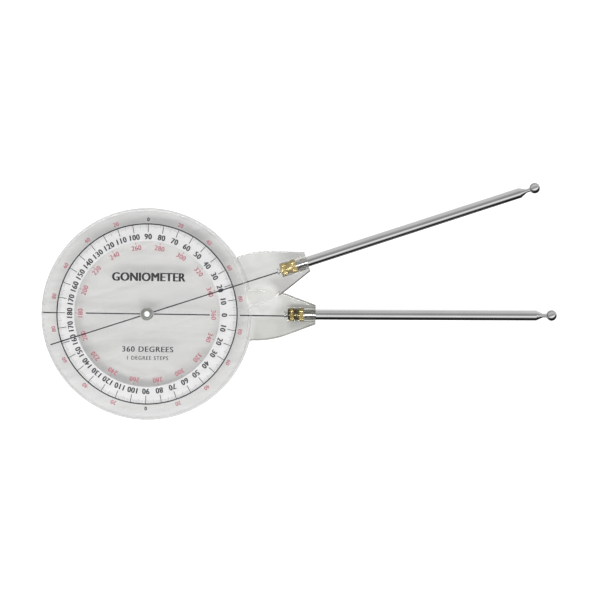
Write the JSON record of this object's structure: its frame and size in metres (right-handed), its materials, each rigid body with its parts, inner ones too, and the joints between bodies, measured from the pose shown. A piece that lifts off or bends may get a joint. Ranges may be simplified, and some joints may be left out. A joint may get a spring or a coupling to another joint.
{
  "type": "goniometer",
  "caption": "Clear plastic dial goniometer for measuring joint angles, with two ball-tipped telescopic arms on a riveted central pivot.",
  "frame": {"origin": "on the pivot axis, in the plane where the dial plate faces the pointer plate", "axes": "+X along the fixed arm towards its tip, +Z out of the dial's face, +Y completes the frame, so the moving arm opens from +X towards +Y"},
  "size_m": [0.2555, 0.1177, 0.0202],
  "materials": {
    "clear_plastic": "clear moulded acrylic, glossy with fine scratches",
    "chrome_tube": "polished chrome",
    "chrome_tip": "polished chrome",
    "brass_insert": "machined, knurled brass",
    "bronze_guide": "satin spring bronze",
    "steel_stud": "turned steel",
    "rivet_metal": "nickel-plated, satin",
    "nylon_washer": "matt, translucent"
  },
  "bodies": {
    "dial": {"dial_plate": "clear_plastic", "pivot_rivet": "rivet_metal", "rivet_washer": "rivet_metal", "friction_washer": "nylon_washer", "fixed_insert": "brass_insert", "fixed_base_stud": "steel_stud", "fixed_tube_1": "chrome_tube"},
    "pointer": {"pointer_plate": "clear_plastic", "moving_insert": "brass_insert", "moving_base_stud": "steel_stud", "moving_tube_1": "chrome_tube"},
    "fixed_section_2": {"fixed_tube_2": "chrome_tube", "fixed_guide_2": "bronze_guide"},
    "fixed_section_3": {"fixed_tube_3": "chrome_tube", "fixed_guide_3": "bronze_guide"},
    "fixed_section_4": {"fixed_tube_4": "chrome_tube", "fixed_guide_4": "bronze_guide"},
    "fixed_section_5": {"fixed_core_rod": "chrome_tube", "fixed_guide_5": "bronze_guide", "fixed_tip_ball": "chrome_tip"},
    "moving_section_2": {"moving_tube_2": "chrome_tube", "moving_guide_2": "bronze_guide"},
    "moving_section_3": {"moving_tube_3": "chrome_tube", "moving_guide_3": "bronze_guide"},
    "moving_section_4": {"moving_tube_4": "chrome_tube", "moving_guide_4": "bronze_guide"},
    "moving_section_5": {"moving_core_rod": "chrome_tube", "moving_guide_5": "bronze_guide", "moving_tip_ball": "chrome_tip"}
  },
  "joints": [
    {"name": "arm_pivot", "type": "hinge", "parent": "dial", "child": "pointer", "pos_m": [0, 0, 0], "axis": [0, 0, 1], "continuous": true},
    {"name": "fixed_slide_2", "type": "slide", "parent": "dial", "child": "fixed_section_2", "axis": [1, 0, 0], "range_m": [0, 0.105]},
    {"name": "fixed_slide_3", "type": "slide", "parent": "fixed_section_2", "child": "fixed_section_3", "axis": [1, 0, 0], "range_m": [0, 0.101]},
    {"name": "fixed_slide_4", "type": "slide", "parent": "fixed_section_3", "child": "fixed_section_4", "axis": [1, 0, 0], "range_m": [0, 0.097]},
    {"name": "fixed_slide_5", "type": "slide", "parent": "fixed_section_4", "child": "fixed_section_5", "axis": [1, 0, 0], "range_m": [0, 0.093]},
    {"name": "moving_slide_2", "type": "slide", "parent": "pointer", "child": "moving_section_2", "axis": [0.95, 0.3123, 0], "range_m": [0, 0.105]},
    {"name": "moving_slide_3", "type": "slide", "parent": "moving_section_2", "child": "moving_section_3", "axis": [0.95, 0.3123, 0], "range_m": [0, 0.101]},
    {"name": "moving_slide_4", "type": "slide", "parent": "moving_section_3", "child": "moving_section_4", "axis": [0.95, 0.3123, 0], "range_m": [0, 0.097]},
    {"name": "moving_slide_5", "type": "slide", "parent": "moving_section_4", "child": "moving_section_5", "axis": [0.95, 0.3123, 0], "range_m": [0, 0.093]}
  ]
}
